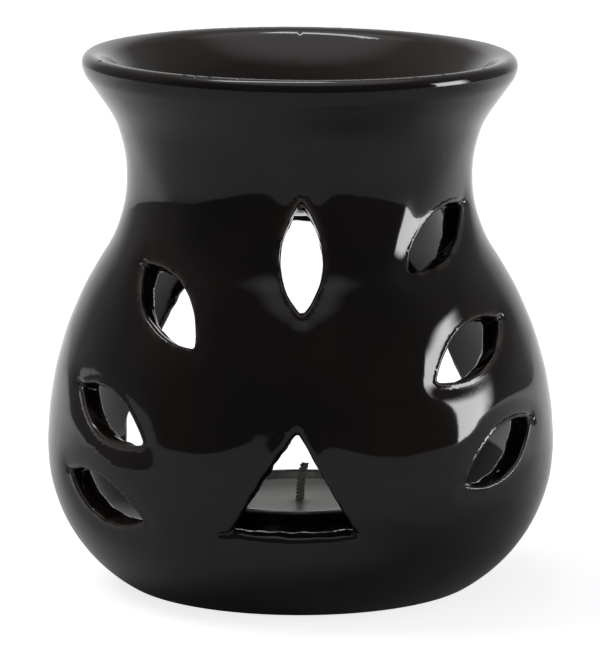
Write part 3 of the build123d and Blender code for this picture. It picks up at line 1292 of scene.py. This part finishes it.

# %% [markdown]
# ## What each piece stands for
# Every finished piece hides the plain part of the frame that it replaces, and rides on the same
# body.

# %% What each piece stands for
dressed = [
    (body, "burner_body", "burner", "glazed_clay"),
    (bowl, "oil_bowl", "burner", "bowl_glaze"),
    (slip, "slip_joint", "burner", "slip"),
    (cup, "tealight_cup", "cup", "cup_foil"),
    (wax, "tealight_wax", "candle", "wax"),
    (wick, "tealight_wick", "candle", "wick_cotton"),
    (foot, "wick_sustainer", "candle", "tinplate"),
]
for piece, node, carrier, slot in dressed:
    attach(piece, carrier)
    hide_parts(node)
    print(piece.name, "stands for", node)

# %% [markdown]
# ## The table and the white studio
# A glossy black thing shows its surroundings. A white table ends a forearm's length in front of
# the burner, and a dim room lies beyond: the table's mirrored edge is the curved line where the
# belly turns from black to charcoal. To the camera the table is white, and behind the burner it
# also glows in mirrors, because there it was lit more.

# %% The table
table_front = -370 * mm
table_back = 1300 * mm
table_half_width = 1100 * mm
table_drop = 0.02 * mm
table_pale = (0.44, 0.44, 0.455)
table_shade = (0.425, 0.425, 0.44)
table_patch_width = 40 * mm
seen_glow = 0.8
mirrored_glow = 0.55
glow_from = -30 * mm
glow_to = 220 * mm
white = (1, 1, 1, 1)


def studio_table():
    bm = bmesh.new()
    made = bmesh.ops.create_grid(bm, x_segments=2, y_segments=2, size=1)
    half_length = (table_back - table_front) / 2
    bmesh.ops.scale(bm, verts=made["verts"], vec=(table_half_width, half_length, 1))
    bmesh.ops.translate(bm, verts=made["verts"], vec=(0, table_front + half_length, -table_drop))
    table = as_object(bm, "studio_table", smooth=False)
    finish = new_finish("studio_table_white")
    pale = finish.colour(finish.noise(table_patch_width, 2), table_pale, table_shade)
    lit = finish.node("BsdfDiffuse", inputs={"Color": pale})
    behind = finish.between(glow_from, glow_to, finish.part_of(finish.place(), "Y"))
    strength = seen_glow * finish.ray("Camera") + mirrored_glow * behind * finish.ray("Glossy")
    glow = finish.node("Emission", inputs={"Color": white, "Strength": strength})
    finish.finish_with(finish.node("AddShader", inputs={0: lit, 1: glow}))
    dress(table, finish.owner)
    table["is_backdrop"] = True


studio_table()

# %% [markdown]
# The world is white to the camera. What the glaze mirrors depends on the direction: white paper
# behind, a dim room in front, a grey ceiling, and the soft box that stands at the right. Everything
# else is lit by it as by one even, modest white. Each edge between them is soft: a direction has a
# length of 1, and an edge is a range of its part along Y (behind), Z (up) or X (to the right).

# %% The world
room_dark = 0.065
room_beside = 0.08
room_behind = 0.09
paper_white = 0.6
ceiling_grey = 0.8
box_brightness = 11.0
plain_light = 0.35
room_beside_edge = (-0.5, 0.1)
room_behind_edge = (0.1, 0.75)
paper_edge = (0.68, 0.98)
ceiling_edge = (0.74, 0.93)
box_near_edge = (-0.255, -0.225)
box_far_edge = (0.02, 0.20)
box_inner_edge = (0, 0.1)
box_top_edge = (0.25, 0.40)


def studio_world():
    world = bpy.data.worlds.new("studio")
    bpy.context.scene.world = world
    finish = Finish(world)
    direction = finish.node("TexCoord", out="Generated")
    behind, up, right = (finish.part_of(direction, axis) for axis in "YZX")
    room = room_dark + room_beside * finish.between(*room_beside_edge, behind)
    room = room + room_behind * finish.between(*room_behind_edge, behind)
    paper = paper_white * finish.between(*paper_edge, behind)
    ceiling = ceiling_grey * finish.between(*ceiling_edge, up)
    box = finish.between(*box_near_edge, behind) * (1 - finish.between(*box_far_edge, behind))
    box = box * finish.between(*box_inner_edge, right) * (1 - finish.between(*box_top_edge, up))
    mirrored = finish.larger(room + paper, ceiling) + box_brightness * box
    strength = finish.choose(finish.ray("Glossy"), plain_light, mirrored)
    seen = finish.larger(finish.ray("Camera"), finish.ray("Transmission"))
    strength = finish.choose(seen, strength, 1.0)
    sky = finish.node("Background", inputs={"Color": white, "Strength": strength})
    finish.finish_with(sky, "World")
    print("the world has", len(world.node_tree.nodes), "nodes")


studio_world()

# %% [markdown]
# The soft boxes are area lamps. Only the overhead one is mirrored, as the bright line on the near
# lip, so its place follows from that line. The other two give plain light from both sides. The
# mirror image of the one at the right is part of the world, where its edges can be soft.

# %% The soft boxes
lamp_aim = Vector((0, 0, 50 * mm))
# For each lamp: its name, place, width, height, brightness, and whether the glaze mirrors it.
# A brightness of 1 is white paper in plain light.
soft_boxes = [
    ("soft_box_right", (0.95, -0.04, 0.17), 0.39, 0.33, 8.0, False),
    ("soft_box_left", (-0.60, 0.15, 0.90), 0.60, 0.50, 6.0, False),
    ("soft_box_overhead", (-0.14, 0.19, 1.02), 0.62, 0.14, 8.0, True),
]


def soft_box(name, place, width, height, brightness, mirrored):
    lamp = bpy.data.lights.new(name, "AREA")
    lamp.shape = "RECTANGLE"
    lamp.size, lamp.size_y = width, height
    lamp.energy = brightness * pi * width * height
    box = bpy.data.objects.new(name, lamp)
    bpy.context.scene.collection.objects.link(box)
    box.location = place
    box.rotation_euler = (lamp_aim - Vector(place)).to_track_quat("-Z", "Y").to_euler()
    box.visible_glossy = mirrored
    print(name, round(lamp.energy, 2), "W")


for settings in soft_boxes:
    soft_box(*settings)

# %% [markdown]
# ## Last settings and checks
# Colours are shown as they are, and the box of the dressed burner is written beside the frame's.

# %% Last settings and checks
bpy.context.scene.view_settings.view_transform = "Standard"
for box_name, box in (("frame", cad_box), ("dressed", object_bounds())):
    print(box_name, [[round(v / mm, 2) for v in corner] for corner in box])
